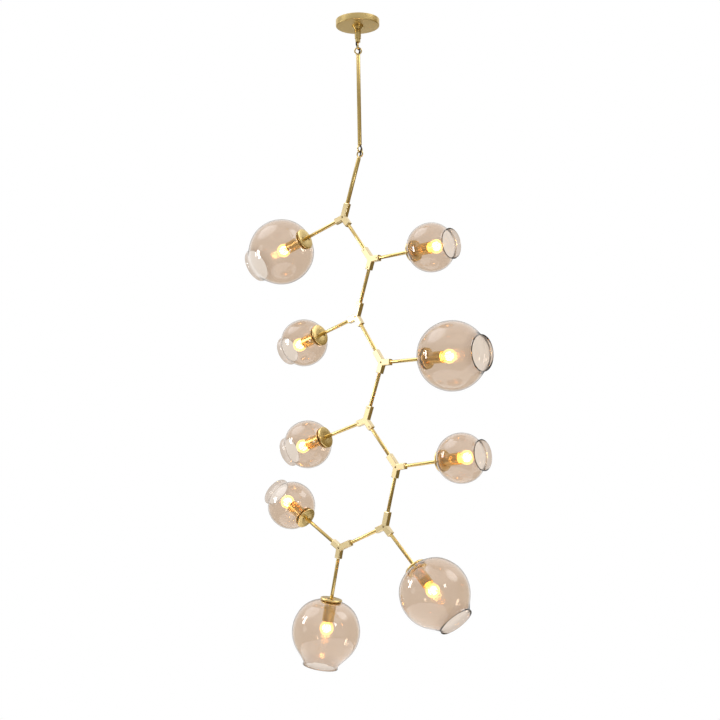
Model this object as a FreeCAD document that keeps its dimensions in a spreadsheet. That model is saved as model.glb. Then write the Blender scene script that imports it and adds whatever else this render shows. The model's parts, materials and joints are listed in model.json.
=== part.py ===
import FreeCAD, Part
import math
import os
import re
import Sketcher
from FreeCAD import Placement, Rotation, Vector

# Ceiling light: a canopy and a down rod, from which a zigzag chain of Y-shaped hubs hangs
# with nine blown-glass shades. Millimetres, +Z up, origin on the ceiling in the middle of
# the bracket. The chain's mean plane is XZ, and the hub faces look along -Y.

sizes = {
    # Gaps: between moving curved faces, round rods and screws, and past a face for cuts
    "running_gap": 0.3,
    "fit_gap": 0.05,
    "overrun": 1,
    # Bracket, threaded nipple and nuts behind the canopy
    "bracket_length": 104,
    "bracket_width": 18,
    "bracket_thickness": 2.5,
    "bolt_spacing": 84,
    "bolt_hole_d": 5,
    "nipple_d": 10,
    "nipple_bore": 7,
    "nipple_length": 38,
    "lock_nut_d": 18,
    "lock_nut_height": 4,
    "end_nut_d": 14.6,
    "end_nut_height": 4,
    # Canopy and the collar that clamps it
    "canopy_d": 130,
    "canopy_height": 19.5,
    "canopy_wall": 1.5,
    "canopy_edge_radius": 2.5,
    "flange_d": 34,
    "flange_height": 5,
    "step_d": 26,
    "step_height": 4,
    "collar_screw_d": 3,
    "collar_screw_length": 5,
    # Swivelling neck
    "neck_d": 19,
    "neck_length": 35.2,
    "neck_top_wall": 3.5,
    "neck_cavity_d": 15.4,
    "neck_floor": 12,
    "groove_d": 17.4,
    "groove_width": 3.5,
    "groove_place": 22.5,
    # Loops
    "loop_radius": 9.75,
    "loop_wire_d": 4.5,
    "loop_stub_d": 6,
    "neck_cap_d": 15,
    "neck_cap_height": 5,
    "rod_cap_height": 3,
    "plug_d": 9.9,
    "plug_length": 9,
    # Rods
    "stem_d": 12,
    "rod_d": 10,
    "rod_wall": 1,
    "stem_span": 302.5,
    "drop_length": 193.9,
    "link_length": 172.75,
    # Hubs
    "hub_depth": 16,
    "hub_arm_width": 17.5,
    "hub_stem_arm": 43.5,
    "hub_branch_arm": 31,
    "hub_bevel": 1.8,
    "hub_cavity_d": 24,
    "hub_cavity_depth": 5,
    "hub_boss_d": 8,
    "stem_seat": 25,
    "branch_seat": 19.5,
    "hub_screw_d": 4,
    "hub_screw_head_d": 6,
    "hub_screw_head_height": 2,
    "hub_screw_sink": 0.4,
    "hub_screw_length": 13,
    "set_screw_d": 4,
    "set_screw_inset": 6.5,
    # Lampholders
    "arm_length": 148.5,
    "cap_d": 64,
    "cap_height": 6.5,
    "cap_bevel": 2,
    "holder_neck_d": 43.2,
    "holder_neck_length": 5.3,
    "cup_d": 34,
    "cup_wall": 2,
    "cup_length": 67.5,
    "cup_floor": 14,
    "arm_seat": 10,
    "insert_recess": 11,
    "glass_ring_d": 60,
    "glass_ring_height": 4,
    "cap_screw_d": 3,
    "cap_screw_head_d": 5.6,
    "cap_screw_head_height": 1.6,
    "cap_screw_length": 9,
    "cap_screw_radius": 15,
    # Bulbs
    "bulb_d": 40,
    "bulb_place": 88.5,
    "bulb_base_d": 14,
    "bulb_base_length": 26,
    "bulb_throat_d": 20,
    "bulb_shoulder_d": 26,
    "bulb_shoulder_length": 21,
    "bulb_throat_depth": 10.5,
    # Glass shades
    "glass_wall": 2.5,
    "glass_hole_d": 44,
    "large_d": 197,
    "large_height": 195,
    "large_mouth_d": 103,
    "small_d": 140,
    "small_height": 135,
    "small_mouth_d": 88,
}

# Lean of the drop rod out of the vertical, towards -X and -Y, in degrees
drop_lean_x = 17.75
drop_lean_y = 1.93

# One row for each hub, in degrees: its twist about the rod that it hangs on, the turns of
# its shade branch and of its link branch away from that rod, and the shade's side
hub_rows = [
    (-1.2, 56.0, 53.2, -1),
    (2.4, 54.8, 56.5, 1),
    (3.0, 55.6, 53.9, -1),
    (1.0, 55.4, 53.9, 1),
    (-2.9, 54.8, 56.9, -1),
    (1.0, 57.0, 53.1, 1),
    (-1.8, 57.3, 54.4, 1),
    (-2.5, 55.0, 56.9, -1),
]
large_shades = (1, 4, 7, 9)
hub_arms = ("hub_stem_arm", "hub_branch_arm", "hub_branch_arm")
sides = (("left", -1), ("right", 1))
# These hubs show their set screws in front, and the others their middle screw
turned_hubs = (2, 5)
# Direction of the canopy loop's plane, from +X towards -Y, in degrees
canopy_loop_turn = -52.2

# Outer walls of the blown shades between the hole and the mouth's edge: shares of the
# widest radius and of the height
large_wall_shares = [
    (0.356, 0.013), (0.565, 0.056), (0.772, 0.144), (0.92, 0.272), (0.986, 0.385),
    (0.998, 0.485), (0.972, 0.59), (0.9, 0.69), (0.768, 0.796), (0.637, 0.875),
    (0.547, 0.935), (0.510, 0.972),
]
small_wall_shares = [
    (0.5, 0.03), (0.714, 0.107), (0.871, 0.215), (0.971, 0.348), (1.0, 0.47),
    (0.971, 0.6), (0.871, 0.726), (0.743, 0.807), (0.629, 0.867), (0.571, 0.915),
    (0.571, 0.955),
]

doc = FreeCAD.newDocument("ceiling_light")
sheet = doc.addObject("Spreadsheet::Sheet", "Sizes")
for row, (word, number) in enumerate(sizes.items(), 1):
    sheet.set(f"A{row}", word)
    sheet.set(f"B{row}", str(number))
    sheet.setAlias(f"B{row}", word)
doc.recompute()

parts = []
down = Vector(0, 0, -1)


def size(word):
    return float(sheet.get(word))


def in_sheet(formula):
    return re.sub(r"[a-z]\w+", r"Sizes.\g<0>", formula)


def primitive(kind, name, formulas, place="0", turn=Rotation()):
    item = doc.addObject("Part::" + kind, name)
    item.Placement = Placement(Vector(), turn)
    for field, formula in formulas.items():
        item.setExpression(field, in_sheet(formula))
    item.setExpression("Placement.Base.z", in_sheet(place))
    return item


def cylinder(name, diameter, height, place="0"):
    return primitive("Cylinder", name, {"Radius": f"({diameter}) / 2", "Height": height}, place)


def cut(name, base, *tools):
    item = doc.addObject("Part::Cut", name)
    item.Base = base
    item.Tool = tools[0] if len(tools) == 1 else fused(name + "_tools", tools)
    return item


def fused(name, items):
    item = doc.addObject("Part::MultiFuse", name)
    item.Shapes = list(items)
    item.Refine = True
    return item


def grouped(name, items):
    item = doc.addObject("Part::Compound", name)
    item.Links = list(items)
    return item


def tube(name, diameter, wall, length, place="0"):
    outside = cylinder(name + "_outside", diameter, length, place)
    bore = cylinder(name + "_bore", f"{diameter} - 2 * {wall}", f"{length} + 2 * overrun",
                    f"{place} - overrun")
    return cut(name + "_tube", outside, bore)


def turned_body(name, outline):
    # A closed outline of (radius, height) formulas, turned once about the Z axis
    body = doc.addObject("PartDesign::Body", name)
    sketch = body.newObject("Sketcher::SketchObject", name + "_profile")
    plane = next(item for item in body.Origin.OriginFeatures if item.Role == "XZ_Plane")
    sketch.AttachmentSupport = [(plane, "")]
    sketch.MapMode = "FlatFace"
    count = len(outline)
    corners = [Vector(count + math.cos(math.tau * i / count), count + math.sin(math.tau * i / count))
               for i in range(count)]
    for i in range(count):
        sketch.addGeometry(Part.LineSegment(corners[i], corners[(i + 1) % count]))
    for i in range(count):
        sketch.addConstraint(Sketcher.Constraint("Coincident", i, 2, (i + 1) % count, 1))
    for i, place in enumerate(outline):
        for kind, axis, start, formula in zip(("DistanceX", "DistanceY"), (-2, -1), corners[i], place):
            if formula == "0":
                sketch.addConstraint(Sketcher.Constraint("PointOnObject", i, 1, axis))
            else:
                row = sketch.addConstraint(Sketcher.Constraint(kind, -1, 1, i, 1, start))
                sketch.setExpression(f"Constraints[{row}]", in_sheet(formula))
    turning = body.newObject("PartDesign::Revolution", name + "_turning")
    turning.Profile = sketch
    turning.ReferenceAxis = (sketch, ["V_Axis"])
    turning.Angle = 360
    sketch.Visibility = False
    return body


def framed(origin, along, across):
    # Z runs along the first direction and X lies towards the second
    return Placement(origin, Rotation(across, along.cross(across), along, "ZXY"))


def finished(item, label, placement):
    item.Label = label
    item.Placement = placement
    parts.append(item)


def eye(name, cap_d, cap_height, flat_turn):
    # A welded ring on a stub, with its cap and its threaded plug; Z points to the rod
    ring = primitive("Torus", name + "_ring", {"Radius1": "loop_radius", "Radius2": "loop_wire_d / 2"},
                     turn=Rotation(Vector(0, 0, 1), flat_turn) * Rotation(Vector(1, 0, 0), 90))
    stub = cylinder(name + "_stub", "loop_stub_d", "loop_wire_d", "loop_radius")
    cap = cylinder(name + "_cap", cap_d, cap_height, "loop_radius + loop_wire_d / 2")
    plug = cylinder(name + "_plug", "plug_d", "plug_length",
                    f"loop_radius + loop_wire_d / 2 + {cap_height}")
    return fused(name, [ring, stub, cap, plug])


# Ceiling bracket: a bar with two screw holes and the nipple's hole
def ceiling_bracket():
    bar = primitive("Box", "bracket_bar", {
        "Length": "bracket_length", "Width": "bracket_width", "Height": "bracket_thickness",
        "Placement.Base.x": "-bracket_length / 2", "Placement.Base.y": "-bracket_width / 2"})
    holes = [cylinder("bracket_nipple_hole", "nipple_d + 2 * fit_gap", "bracket_thickness + 2 * overrun",
                      "-overrun")]
    for word, side in sides:
        hole = cylinder(f"bracket_hole_{word}", "bolt_hole_d", "bracket_thickness + 2 * overrun", "-overrun")
        hole.setExpression("Placement.Base.x", in_sheet(f"{side} * bolt_spacing / 2"))
        holes.append(hole)
    return cut("ceiling_bracket_bar", bar, *holes)


# Canopy: a shallow turned cup with a rounded lower edge
def canopy_cup():
    body = turned_body("canopy_cup_body", [
        ("canopy_d / 2", "0"),
        ("canopy_d / 2", "canopy_height"),
        ("nipple_d / 2 + fit_gap", "canopy_height"),
        ("nipple_d / 2 + fit_gap", "canopy_height - canopy_wall"),
        ("canopy_d / 2 - canopy_wall", "canopy_height - canopy_wall"),
        ("canopy_d / 2 - canopy_wall", "0")])
    doc.recompute()
    lower, radius = size("canopy_height"), size("canopy_d") / 2
    edges = [f"Edge{i}" for i, edge in enumerate(body.Tip.Shape.Edges, 1)
             if len(edge.Vertexes) == 1 and abs(edge.BoundBox.ZMax - lower) < size("fit_gap")
             and abs(edge.BoundBox.ZMin - lower) < size("fit_gap")
             and edge.BoundBox.XMax > radius - size("fit_gap")]
    rounding = body.newObject("PartDesign::Fillet", "canopy_rounding")
    rounding.Base = (body.Group[1], edges)
    rounding.setExpression("Radius", in_sheet("canopy_edge_radius"))
    body.Tip = rounding
    return body


# Threaded nipple that carries the whole light
def threaded_nipple():
    return tube("threaded_nipple", "nipple_d", "(nipple_d - nipple_bore) / 2", "nipple_length")


# Hexagon lock nut under the bracket and round end nut inside the neck
def nipple_nuts():
    hexagon = primitive("Prism", "lock_nut_block", {"Circumradius": "lock_nut_d / 2",
                                                    "Height": "lock_nut_height"}, "bracket_thickness")
    hexagon.Polygon = 6
    lock_hole = cylinder("lock_nut_hole", "nipple_d + 2 * fit_gap", "lock_nut_height + 2 * overrun",
                         "bracket_thickness - overrun")
    end_place = "canopy_height + flange_height + step_height + neck_top_wall + 2 * running_gap"
    disc = cylinder("end_nut_block", "end_nut_d", "end_nut_height", end_place)
    end_hole = cylinder("end_nut_hole", "nipple_d + 2 * fit_gap", "end_nut_height + 2 * overrun",
                        f"{end_place} - overrun")
    return grouped("nipple_nuts_group", [cut("lock_nut", hexagon, lock_hole), cut("end_nut", disc, end_hole)])


# Collar with a flange and two set screws in its sides
def canopy_collar():
    body = turned_body("canopy_collar_body", [
        ("nipple_d / 2 + fit_gap", "0"),
        ("flange_d / 2", "0"),
        ("flange_d / 2", "flange_height"),
        ("step_d / 2", "flange_height"),
        ("step_d / 2", "flange_height + step_height"),
        ("nipple_d / 2 + fit_gap", "flange_height + step_height")])
    holes, screws = [], []
    for word, side in sides:
        turn = Rotation(Vector(0, 1, 0), 90 * side)
        hole = cylinder(f"collar_hole_{word}", "collar_screw_d + 2 * fit_gap", "step_d",
                        "flange_height + step_height / 2")
        screw = cylinder(f"collar_screw_{word}", "collar_screw_d", "collar_screw_length",
                         "flange_height + step_height / 2")
        hole.Placement = Placement(Vector(), turn)
        screw.Placement = Placement(Vector(), turn)
        screw.setExpression("Placement.Base.x", in_sheet(f"{side} * (step_d / 2 - collar_screw_length)"))
        holes.append(hole)
        screws.append(screw)
    return grouped("canopy_collar_group", [cut("collar_turning", body, *holes)] + screws)


# Neck that swivels on the nipple
def swivel_neck():
    return turned_body("swivel_neck_body", [
        ("nipple_d / 2 + fit_gap", "0"),
        ("neck_d / 2", "0"),
        ("neck_d / 2", "groove_place"),
        ("groove_d / 2", "groove_place"),
        ("groove_d / 2", "groove_place + groove_width"),
        ("neck_d / 2", "groove_place + groove_width"),
        ("neck_d / 2", "neck_length"),
        ("plug_d / 2 + fit_gap", "neck_length"),
        ("plug_d / 2 + fit_gap", "neck_length - neck_floor"),
        ("neck_cavity_d / 2", "neck_length - neck_floor"),
        ("neck_cavity_d / 2", "neck_top_wall"),
        ("nipple_d / 2 + fit_gap", "neck_top_wall")])


# Rod with a loop at each end; its upper loop's centre is at the local origin
def down_rod():
    reach = "(loop_radius + loop_wire_d / 2 + rod_cap_height)"
    middle = tube("down_rod", "stem_d", "rod_wall", f"(stem_span - 2 * {reach})", reach)
    upper = eye("down_rod_upper_eye", "stem_d", "rod_cap_height", 90)
    lower = eye("down_rod_lower_eye", "stem_d", "rod_cap_height", canopy_loop_turn)
    lower.Placement = Placement(Vector(0, 0, size("stem_span")), Rotation(Vector(1, 0, 0), 180))
    lower.setExpression("Placement.Base.z", in_sheet("stem_span"))
    return grouped("down_rod_group", [middle, upper, lower])


# Rod from the lower loop to the first hub
def drop_rod():
    reach = "(loop_radius + loop_wire_d / 2 + rod_cap_height)"
    length = f"(drop_length - {reach} - hub_stem_arm + stem_seat)"
    return grouped("drop_rod_group", [eye("drop_rod_eye", "stem_d", "rod_cap_height", 0),
                                      tube("drop_rod", "stem_d", "rod_wall", length, reach)])


def hub_shell(name, angles, bores, middle_screw):
    # Half a hub with its outer face up; Z = 0 is the seam between the halves
    blocks, passages, holes = [], [], []
    for i, (angle, arm, bore) in enumerate(zip(angles, hub_arms, bores), 1):
        turn = Rotation(Vector(0, 0, 1), angle)
        block = primitive("Box", f"{name}_arm_{i}", {"Length": arm, "Width": "hub_arm_width",
                                                     "Height": "hub_depth / 2"})
        block.Placement = Placement(turn.multVec(Vector(0, -size("hub_arm_width") / 2, 0)), turn)
        blocks.append(block)
        passage = cylinder(f"{name}_bore_{i}", f"{bore} + 2 * fit_gap", f"{arm} + overrun")
        passage.Placement = Placement(Vector(), turn * Rotation(Vector(0, 1, 0), 90))
        passages.append(passage)
        if not middle_screw:
            hole = cylinder(f"{name}_set_hole_{i}", "set_screw_d + 2 * fit_gap", "hub_depth / 2 + overrun")
            hole.Placement = Placement(turn.multVec(Vector(size(arm) - size("set_screw_inset"), 0, 0)), turn)
            holes.append(hole)
    block = fused(name + "_block", blocks)
    doc.recompute()
    face = size("hub_depth") / 2 - size("fit_gap")
    bevel = doc.addObject("Part::Chamfer", name + "_bevel")
    bevel.Base = block
    bevel.Edges = [(i, size("hub_bevel"), size("hub_bevel"))
                   for i, edge in enumerate(block.Shape.Edges, 1) if edge.BoundBox.ZMin > face]
    passages.append(cylinder(name + "_cavity_disc", "hub_cavity_d", "hub_cavity_depth"))
    boss = cylinder(name + "_boss", "hub_boss_d", "hub_cavity_depth")
    shank_depth = "hub_depth / 2" if middle_screw else "hub_screw_length / 2"
    holes.append(cylinder(name + "_shank_hole", "hub_screw_d + 2 * fit_gap", f"{shank_depth} + overrun"))
    if middle_screw:
        holes.append(cylinder(name + "_head_hole", "hub_screw_head_d + 2 * fit_gap", "hub_depth",
                              "hub_depth / 2 - hub_screw_sink - hub_screw_head_height"))
    return cut(name, bevel, cut(name + "_passage", fused(name + "_hollow", passages), boss), *holes)


# Hub: two shells, the middle screw and three set screws that clamp the rods
def hub(number, row):
    twist, shade_turn, link_turn, side = row
    angles = (180, side * shade_turn, -side * link_turn)
    bores = ("stem_d" if number == 1 else "rod_d", "rod_d", "rod_d")
    name = f"hub_{number}"
    flip = Rotation(Vector(1, 0, 0), 180)
    turned = number in turned_hubs
    front = hub_shell(name + "_front", angles, bores, not turned)
    back = hub_shell(name + "_back", [-angle for angle in angles], bores, turned)
    back.Placement = Placement(Vector(), flip)
    head_place = "hub_depth / 2 - hub_screw_sink - hub_screw_head_height"
    screw = fused(name + "_screw", [
        cylinder(name + "_screw_head", "hub_screw_head_d", "hub_screw_head_height", head_place),
        cylinder(name + "_screw_shank", "hub_screw_d", "hub_screw_length",
                 f"{head_place} - hub_screw_length + hub_screw_head_height")])
    screws = []
    for i, (angle, arm, bore) in enumerate(zip(angles, hub_arms, bores), 1):
        turn = Rotation(Vector(0, 0, 1), angle if turned else -angle)
        place = f"{bore} / 2 + 2 * fit_gap"
        pin = cylinder(f"{name}_set_screw_{i}", "set_screw_d",
                       f"hub_depth / 2 - hub_screw_sink - ({place})", place)
        spot = turn.multVec(Vector(size(arm) - size("set_screw_inset"), 0, 0))
        pin.Placement = Placement(spot, turn)
        screws.append(pin)
    pins = grouped(name + "_set_screws", screws)
    if turned:
        screw.Placement = Placement(Vector(), flip)
    else:
        pins.Placement = Placement(Vector(), flip)
    return grouped(name + "_group", [front, back, screw, pins])


# Lampholder: the cap over the glass, its neck and cup in one turning, the insert that
# grips the bulb, the ring that holds the glass and two cap screws
def lampholder(number):
    name = f"lampholder_{number}"
    body = turned_body(name + "_body", [
        ("rod_d / 2 + fit_gap", "0"),
        ("cap_d / 2 - cap_bevel", "0"),
        ("cap_d / 2", "cap_bevel"),
        ("cap_d / 2", "cap_height - cap_bevel"),
        ("cap_d / 2 - cap_bevel", "cap_height"),
        ("holder_neck_d / 2", "cap_height"),
        ("holder_neck_d / 2", "cap_height + holder_neck_length"),
        ("cup_d / 2", "cap_height + holder_neck_length"),
        ("cup_d / 2", "cup_length"),
        ("cup_d / 2 - cup_wall", "cup_length"),
        ("cup_d / 2 - cup_wall", "cup_floor"),
        ("rod_d / 2 + fit_gap", "cup_floor")])
    holes, screws = [], []
    for word, side in sides:
        hole = cylinder(f"{name}_hole_{word}", "cap_screw_d + 2 * fit_gap", "cap_screw_length + overrun",
                        "-overrun")
        head = cylinder(f"{name}_head_{word}", "cap_screw_head_d", "cap_screw_head_height",
                        "-cap_screw_head_height")
        shank = cylinder(f"{name}_shank_{word}", "cap_screw_d", "cap_screw_length - fit_gap")
        for item in (hole, head, shank):
            item.setExpression("Placement.Base.x", in_sheet(f"{side} * cap_screw_radius"))
        holes.append(hole)
        screws.append(fused(f"{name}_screw_{word}", [head, shank]))
    insert = tube(name + "_insert", "(cup_d - 2 * cup_wall - 2 * fit_gap)",
                  "((cup_d - 2 * cup_wall - bulb_base_d) / 2 - 3 * fit_gap)",
                  "(cup_length - cup_floor - insert_recess)", "cup_floor")
    ring = tube(name + "_ring", "glass_ring_d", "((glass_ring_d - cup_d) / 2 - 2 * fit_gap)",
                "glass_ring_height", "cap_height + holder_neck_length + running_gap")
    return grouped(name + "_group", [cut(name + "_turning", body, *holes), insert, ring] + screws)


# Globe bulb with its throat and base; its origin is at the cap's face
def bulb(number):
    name = f"bulb_{number}"
    throat_place = "bulb_place - bulb_d / 2 - bulb_throat_depth"
    base = cylinder(name + "_base", "bulb_base_d", "bulb_base_length + overrun",
                    f"{throat_place} - bulb_base_length")
    throat = primitive("Cone", name + "_throat", {
        "Radius1": "bulb_throat_d / 2", "Radius2": "bulb_shoulder_d / 2",
        "Height": "bulb_shoulder_length"}, throat_place)
    globe = primitive("Sphere", name + "_globe", {"Radius": "bulb_d / 2"}, "bulb_place")
    return fused(name + "_blown", [base, throat, globe])


# Blown shade: its outer wall's curve, the same curve set in by the glass, and a flat hole
def shade(number):
    kind = "large" if number in large_shades else "small"
    shares = large_wall_shares if kind == "large" else small_wall_shares
    radius, height = size(kind + "_d") / 2, size(kind + "_height")
    places = [Vector(size("glass_hole_d") / 2, 0, 0)]
    places += [Vector(radius * across, 0, height * along) for across, along in shares]
    places.append(Vector(size(kind + "_mouth_d") / 2, 0, height))
    outside = Part.BSplineCurve()
    outside.interpolate(places)
    inner_places = []
    for place in places:
        run = outside.tangent(outside.parameter(place))[0]
        inner_places.append(place + run.cross(Vector(0, 1, 0)) * size("glass_wall"))
    inside = Part.BSplineCurve()
    inside.interpolate(inner_places)
    outline = Part.Wire([outside.toShape(), Part.makeLine(places[-1], inner_places[-1]),
                         inside.toShape(), Part.makeLine(inner_places[0], places[0])])
    glass = doc.addObject("Part::Feature", f"shade_{number}_glass")
    glass.Shape = Part.Face(outline).revolve(Vector(), Vector(0, 0, 1), 360)
    return glass


def chain():
    # For each hub its centre, the direction of the rod that it hangs on and its sideways
    # direction, worked out down the chain from the lower loop
    lean_x, lean_y = math.radians(drop_lean_x), math.radians(drop_lean_y)
    run = Vector(-math.sin(lean_x), -math.sin(lean_y), 0)
    run.z = -math.sqrt(1 - run.x ** 2 - run.y ** 2)
    centre = lower_pivot + run * size("drop_length")
    places = []
    for twist, shade_turn, link_turn, side in hub_rows:
        level = run.cross(Vector(0, 1, 0)).normalize()
        across = Rotation(run, twist).multVec(level)
        places.append((centre, run, across))
        run = Rotation(run.cross(across), -side * link_turn).multVec(run)
        centre = centre + run * size("link_length")
    return places


loop_reach = size("loop_radius") + size("loop_wire_d") / 2
loop_pitch = 2 * size("loop_radius") - size("loop_wire_d") - size("running_gap")
collar_place = Vector(0, 0, -size("canopy_height"))
neck_place = collar_place - Vector(0, 0, size("flange_height") + size("step_height") + size("running_gap"))
canopy_loop_place = neck_place - Vector(0, 0, size("neck_length") + size("neck_cap_height") + loop_reach)
upper_pivot = canopy_loop_place - Vector(0, 0, loop_pitch)
lower_pivot = upper_pivot - Vector(0, 0, size("stem_span") + loop_pitch)
east = Vector(1, 0, 0)
loop_run = Rotation(Vector(0, 0, 1), canopy_loop_turn).multVec(east)

finished(canopy_cup(), "canopy_cup", framed(Vector(), down, east))
finished(ceiling_bracket(), "ceiling_bracket", framed(Vector(), down, east))
finished(threaded_nipple(), "threaded_nipple", framed(Vector(), down, east))
finished(nipple_nuts(), "nipple_nuts", framed(Vector(), down, east))
finished(canopy_collar(), "canopy_collar", framed(collar_place, down, east))
finished(swivel_neck(), "swivel_neck", framed(neck_place, down, east))
finished(eye("canopy_loop_eye", "neck_cap_d", "neck_cap_height", 0), "canopy_loop",
         framed(canopy_loop_place, Vector(0, 0, 1), loop_run))
finished(down_rod(), "down_rod", framed(upper_pivot, down, loop_run))

hubs = chain()
finished(drop_rod(), "drop_rod", framed(lower_pivot, hubs[0][1], hubs[0][2]))
arm_start = "(hub_branch_arm - branch_seat)"
arms = []
for number, (row, (centre, run, across)) in enumerate(zip(hub_rows, hubs), 1):
    facing = run.cross(across)
    finished(hub(number, row), f"hub_{number}", Placement(centre, Rotation(run, across, facing, "XYZ")))
    shade_arm = Rotation(facing, row[3] * row[1]).multVec(run)
    link_arm = Rotation(facing, -row[3] * row[2]).multVec(run)
    arms.append((number, centre, shade_arm, facing))
    if number < len(hubs):
        link = tube(f"link_{number}", "rod_d", "rod_wall",
                    f"(link_length - hub_stem_arm + stem_seat - {arm_start})", arm_start)
        finished(link, f"link_rod_{number}", framed(centre, link_arm, facing))
    else:
        arms.append((number + 1, centre, link_arm, facing))

for number, centre, arm, facing in arms:
    rod = tube(f"arm_{number}", "rod_d", "rod_wall", f"(arm_length + arm_seat - {arm_start})", arm_start)
    finished(rod, f"arm_rod_{number}", framed(centre, arm, facing))
    cap_place = centre + arm * size("arm_length")
    finished(lampholder(number), f"lampholder_{number}", framed(cap_place, arm, facing))
    finished(bulb(number), f"bulb_{number}", framed(cap_place, arm, facing))
    seat = cap_place + arm * (size("cap_height") + size("running_gap"))
    finished(shade(number), f"shade_{number}", framed(seat, arm, facing))

doc.recompute()
os.makedirs("parts", exist_ok=True)
for item in doc.Objects:
    if "Invalid" in item.State or "Error" in item.State:
        raise ValueError(f"{item.Name} failed: {item.State}")
for item in parts:
    if item.Shape.isNull() or not item.Shape.isValid():
        raise ValueError(f"{item.Label} has no valid shape")
    item.Shape.exportStep(os.path.join("parts", item.Label + ".step"))
    print(item.Label, len(item.Shape.Solids), round(item.Shape.Volume))
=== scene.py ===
import json
import bmesh
import bpy
import numpy as np
from mathutils import Matrix


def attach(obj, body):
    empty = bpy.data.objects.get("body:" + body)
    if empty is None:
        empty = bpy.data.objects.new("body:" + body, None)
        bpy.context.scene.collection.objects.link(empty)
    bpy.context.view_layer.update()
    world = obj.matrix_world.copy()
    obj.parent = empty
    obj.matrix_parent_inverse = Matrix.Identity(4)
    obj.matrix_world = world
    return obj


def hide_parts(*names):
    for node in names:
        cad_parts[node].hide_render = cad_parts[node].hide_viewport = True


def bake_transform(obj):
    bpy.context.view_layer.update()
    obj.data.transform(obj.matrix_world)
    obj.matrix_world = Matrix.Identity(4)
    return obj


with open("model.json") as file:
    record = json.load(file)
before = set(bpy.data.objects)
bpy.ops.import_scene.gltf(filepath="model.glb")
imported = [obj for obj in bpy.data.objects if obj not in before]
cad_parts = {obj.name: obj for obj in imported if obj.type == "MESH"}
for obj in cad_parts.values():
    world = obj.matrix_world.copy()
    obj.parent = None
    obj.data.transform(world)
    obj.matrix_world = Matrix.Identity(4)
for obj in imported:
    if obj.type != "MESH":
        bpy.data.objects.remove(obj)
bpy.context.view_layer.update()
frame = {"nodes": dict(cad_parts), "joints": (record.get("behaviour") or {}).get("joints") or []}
joints = {joint["name"]: joint for joint in frame["joints"]}
mm = 0.001
shadeCount = 9
hubCount = 8
largeShades = (1, 4, 7, 9)
tubeEdge = 0.3 * mm
slip = 0.1 * mm
mergeReach = 0.001 * mm


# Lengths, directions, places, and axes read from the frame

def lengths(**sizes):
    # Sizes in millimetres, as metres
    return {key: value * mm for key, value in sizes.items()}


def unit(vector):
    vector = np.asarray(vector, float)
    return vector / np.linalg.norm(vector)


def unitRows(vectors):
    return vectors / np.linalg.norm(vectors, axis=1)[:, None]


def framed(origin, along, across):
    # Local Z runs along the piece and local X leans towards the second direction
    z = unit(along)
    across = np.asarray(across, float)
    x = unit(across - (across @ z) * z)
    return {"origin": np.asarray(origin, float), "axes": np.stack([x, np.cross(z, x), z], 1)}


def placed(points, place):
    return points @ place["axes"].T + place["origin"]


def nodePoints(node):
    mesh = frame["nodes"][node].data
    points = np.empty(len(mesh.vertices) * 3, np.float32)
    mesh.vertices.foreach_get("co", points)
    return points.reshape(-1, 3).astype(float)


def axisOf(node, start):
    # The long axis of a rod, as its middle and its direction away from a start point
    points = nodePoints(node)
    middle = (points.min(0) + points.max(0)) / 2
    spread = np.linalg.eigh(np.cov((points - points.mean(0)).T))[1][:, -1]
    return middle, spread if (middle - start) @ spread > 0 else -spread


def nearestPoint(point, run, otherPoint, otherRun):
    # The point of the first line that lies nearest to the second line
    normal = np.cross(otherRun, np.cross(run, otherRun))
    return point + run * ((otherPoint - point) @ normal) / (run @ normal)


def hubPlaces():
    # Each hub's middle, the run of the rod that it hangs on, its facing, which is turned to the
    # front, and its two branches
    places = []
    for number in range(1, hubCount + 1):
        joint = joints[f"hub_{number}_twist"]
        pivot, run = np.array(joint["pos_m"], float), unit(joint["axis"])
        armMiddle, armRun = axisOf(f"arm_rod_{number}", pivot)
        middle = nearestPoint(pivot, run, armMiddle, armRun)
        other = f"link_rod_{number}" if number < hubCount else f"arm_rod_{shadeCount}"
        otherRun = axisOf(other, middle)[1]
        facing = unit(np.cross(run, armRun))
        facing = facing if facing[1] < 0 else -facing
        places.append({"middle": middle, "run": run, "facing": facing, "armRun": armRun,
                       "otherRun": otherRun})
    return places


# Mesh making

def around(steps):
    return np.linspace(0, 2 * np.pi, steps, endpoint=False)


def gridFaces(rows, columns, closeRows=True):
    # Quads of a grid whose points are stored row by row. Each row closes to a ring
    i, j = np.arange(rows if closeRows else rows - 1)[:, None], np.arange(columns)[None, :]
    nextI, nextJ = (i + 1) % rows, (j + 1) % columns
    quads = [i * columns + j, i * columns + nextJ, nextI * columns + nextJ, nextI * columns + j]
    return np.stack([quad + 0 * i + 0 * j for quad in quads], -1).reshape(-1, 4).tolist()


def rounded(corners, radii, steps):
    # Each corner of a closed outline becomes an exact arc: a rational quadratic curve whose
    # middle weight is the sine of half the corner's angle. It reaches along both sides by its
    # radius over the tangent of that half, and no further than about half of a side
    corners = np.asarray(corners, float)
    before, after = np.roll(corners, 1, 0) - corners, np.roll(corners, -1, 0) - corners
    sides = np.linalg.norm([before, after], axis=2)
    before, after = unitRows(before), unitRows(after)
    half = np.arccos(np.clip((before * after).sum(1), -1, 1)) / 2
    reach = np.minimum(np.asarray(radii, float) / np.tan(half), 0.49 * sides.min(0))
    start, end = corners + before * reach[:, None], corners + after * reach[:, None]
    t = np.linspace(0, 1, steps)[None, :, None]
    weight = np.sin(half)[:, None, None]
    first, middle, last = (1 - t) ** 2, 2 * t * (1 - t) * weight, t ** 2
    top = first * start[:, None] + middle * corners[:, None] + last * end[:, None]
    return (top / (first + middle + last)).reshape(-1, corners.shape[1])


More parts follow.
